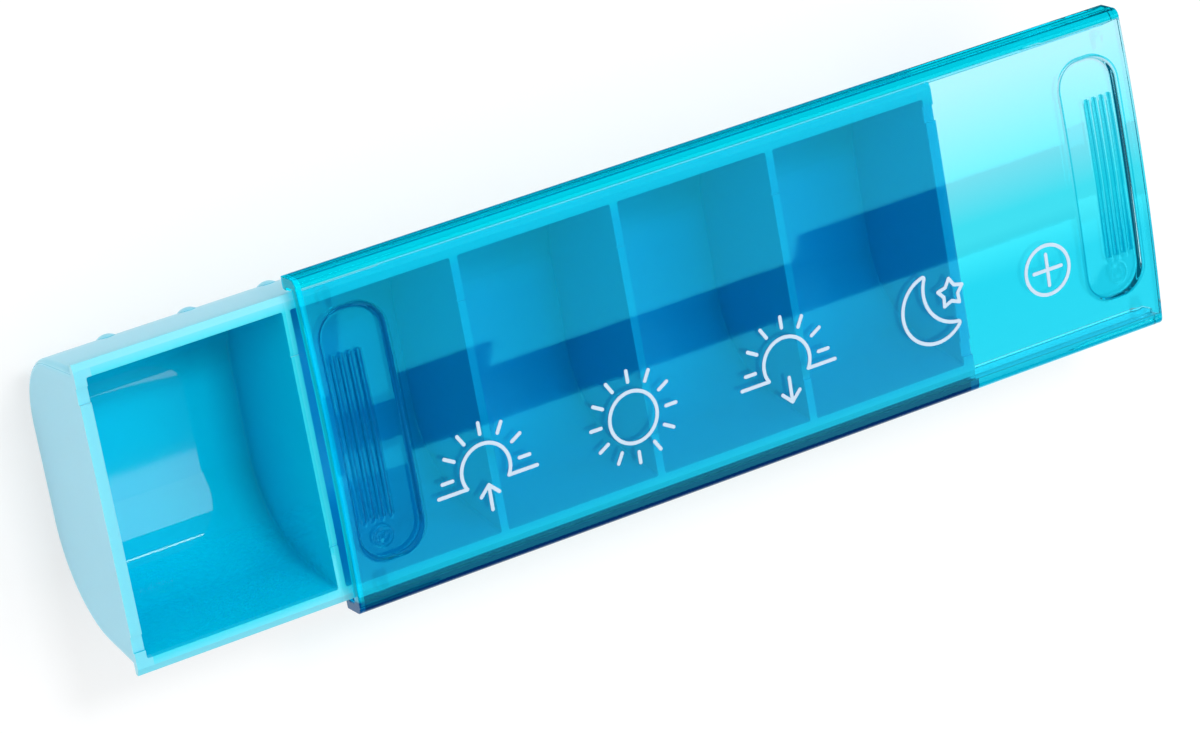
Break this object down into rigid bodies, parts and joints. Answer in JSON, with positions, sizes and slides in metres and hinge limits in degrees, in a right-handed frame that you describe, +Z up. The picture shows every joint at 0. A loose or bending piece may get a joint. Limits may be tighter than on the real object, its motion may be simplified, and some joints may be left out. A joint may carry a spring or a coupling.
{
  "type": "daily pill organizer",
  "caption": "Daily pill organizer: a long rounded tray divided into compartments, with a clear tinted lid that slides along its rim and carries time-of-day symbols.",
  "frame": {"origin": "middle of the tray's flat base, on the surface that it stands on", "axes": "+X along the tray, the way the lid slides to open the first compartment; +Y across it towards the upright back wall; +Z up out of the compartments"},
  "size_m": [0.1408, 0.041, 0.0211],
  "materials": {
    "tray_plastic": "translucent light blue polypropylene, glossy",
    "lid_plastic": "clear cyan-tinted polystyrene, polished",
    "white_ink": "white pad-printed ink"
  },
  "bodies": {
    "tray": {"tray": "tray_plastic"},
    "lid": {"lid": "lid_plastic", "morning_symbol": "white_ink", "noon_symbol": "white_ink", "evening_symbol": "white_ink", "night_symbol": "white_ink", "extra_symbol": "white_ink"}
  },
  "joints": [
    {"name": "lid_slide", "type": "slide", "parent": "tray", "child": "lid", "axis": [1, 0, 0], "range_m": [-0.0945, 0.0435]}
  ]
}
